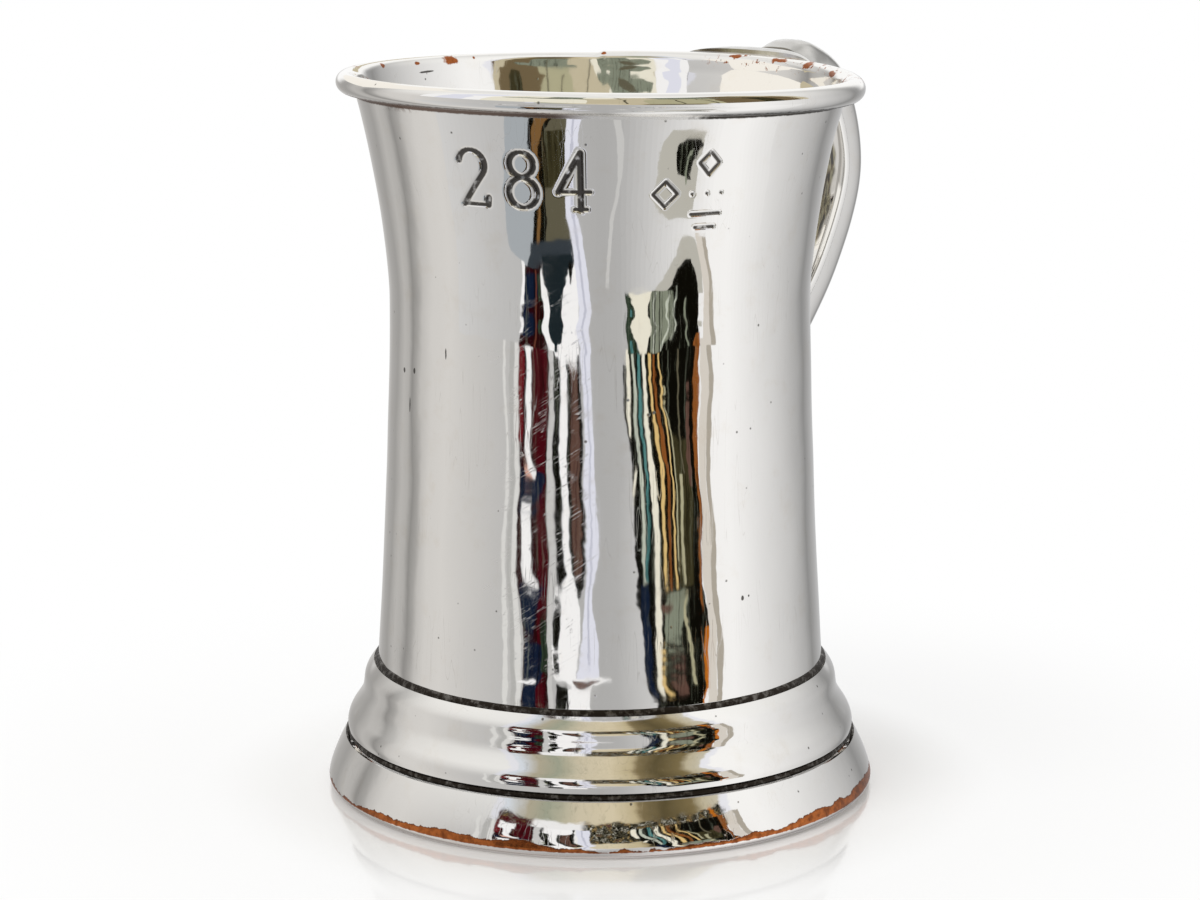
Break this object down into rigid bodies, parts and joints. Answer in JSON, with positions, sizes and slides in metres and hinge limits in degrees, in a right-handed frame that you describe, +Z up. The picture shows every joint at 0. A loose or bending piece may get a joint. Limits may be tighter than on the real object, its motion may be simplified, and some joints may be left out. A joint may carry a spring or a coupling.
{
  "type": "beer mug",
  "caption": "Silver-plated mug with a waisted barrel, rolled wired lip, moulded skirt, spread foot ring and a hollow D-section handle.",
  "frame": {"origin": "on the table, at the middle of the whole object's footprint, handle included", "axes": "+Z up along the mug's axis, +X from the mug's axis towards the handle, +Y across the handle"},
  "size_m": [0.1048, 0.0831, 0.1098],
  "materials": {
    "silver_plate": "polished silver plate with fine scratches, small pits and worn edges",
    "solder": "dull grey soft solder",
    "wire": "drawn wire, hidden in the lip"
  },
  "bodies": {
    "root": {"barrel": "silver_plate", "rim_wire": "wire", "floor_disc": "silver_plate", "upper_solder": "solder", "skirt_moulding": "silver_plate", "lower_solder": "solder", "foot_ring": "silver_plate", "handle_shell": "silver_plate", "handle_strap": "silver_plate", "handle_root": "silver_plate", "handle_collar": "solder"}
  },
  "joints": []
}
